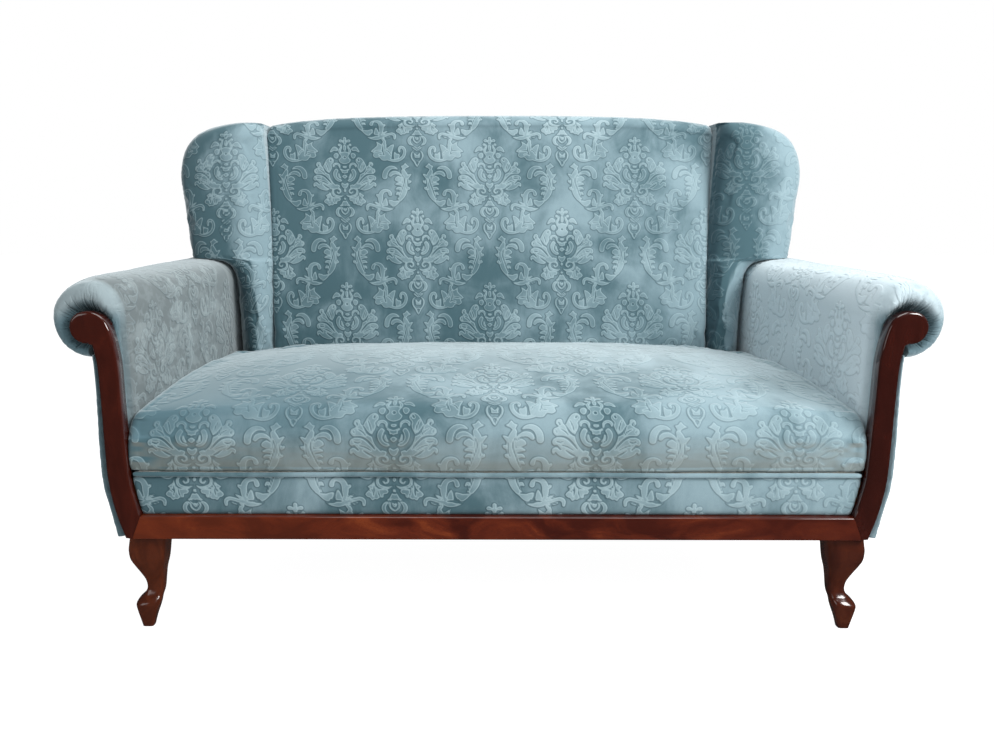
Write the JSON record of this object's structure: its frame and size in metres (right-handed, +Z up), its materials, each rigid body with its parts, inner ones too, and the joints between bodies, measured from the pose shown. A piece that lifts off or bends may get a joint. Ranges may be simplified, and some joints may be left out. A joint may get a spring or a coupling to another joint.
{
  "type": "wing settee",
  "caption": "Upholstered wing settee with scroll arms, a crowned fixed seat, a raked back, a show-wood front rail with matching facings, and cabriole front legs.",
  "frame": {"origin": "floor level, under the middle of the settee's bounding box", "axes": "+X to the right seen from the front, +Y to the rear, +Z up; the front faces -Y"},
  "size_m": [1.58, 0.8, 1.0067],
  "materials": {
    "velvet": "damask cut velvet, soft sheen",
    "show_wood": "high gloss mahogany lacquer",
    "frame_wood": "sawn beech, unfinished",
    "wadding": "white wadding",
    "hessian": "woven jute",
    "cambric": "black non-woven cloth",
    "spring_steel": "oiled spring wire",
    "bolt_steel": "zinc plated"
  },
  "bodies": {
    "root": {"show_rail": "show_wood", "left_arm_facing": "show_wood", "right_arm_facing": "show_wood", "front_left_leg": "show_wood", "front_right_leg": "show_wood", "rear_left_leg": "show_wood", "rear_right_leg": "show_wood", "leg_bolts": "bolt_steel", "front_seat_rail": "frame_wood", "rear_seat_rail": "frame_wood", "left_seat_rail": "frame_wood", "right_seat_rail": "frame_wood", "cross_rails": "frame_wood", "corner_blocks": "frame_wood", "seat_springs": "spring_steel", "spring_clips": "spring_steel", "spring_cloth": "hessian", "seat_base_pad": "wadding", "seat_foam": "wadding", "seat_cover": "velvet", "seat_piping": "velvet", "border_pad": "wadding", "border_cover": "velvet", "left_arm_post": "frame_wood", "right_arm_post": "frame_wood", "left_arm_rear_post": "frame_wood", "right_arm_rear_post": "frame_wood", "left_arm_roll_rail": "frame_wood", "right_arm_roll_rail": "frame_wood", "left_arm_board": "frame_wood", "right_arm_board": "frame_wood", "left_arm_padding": "wadding", "right_arm_padding": "wadding", "left_arm_cover": "velvet", "right_arm_cover": "velvet", "left_outside_arm": "velvet", "right_outside_arm": "velvet", "left_back_post": "frame_wood", "right_back_post": "frame_wood", "crest_rail": "frame_wood", "lower_back_rail": "frame_wood", "back_webbing": "hessian", "back_foam": "wadding", "back_cover": "velvet", "left_wing_board": "frame_wood", "right_wing_board": "frame_wood", "left_wing_padding": "wadding", "right_wing_padding": "wadding", "left_wing_cover": "velvet", "right_wing_cover": "velvet", "left_outside_wing": "velvet", "right_outside_wing": "velvet", "outside_back": "velvet", "dust_cover": "cambric"}
  },
  "joints": []
}
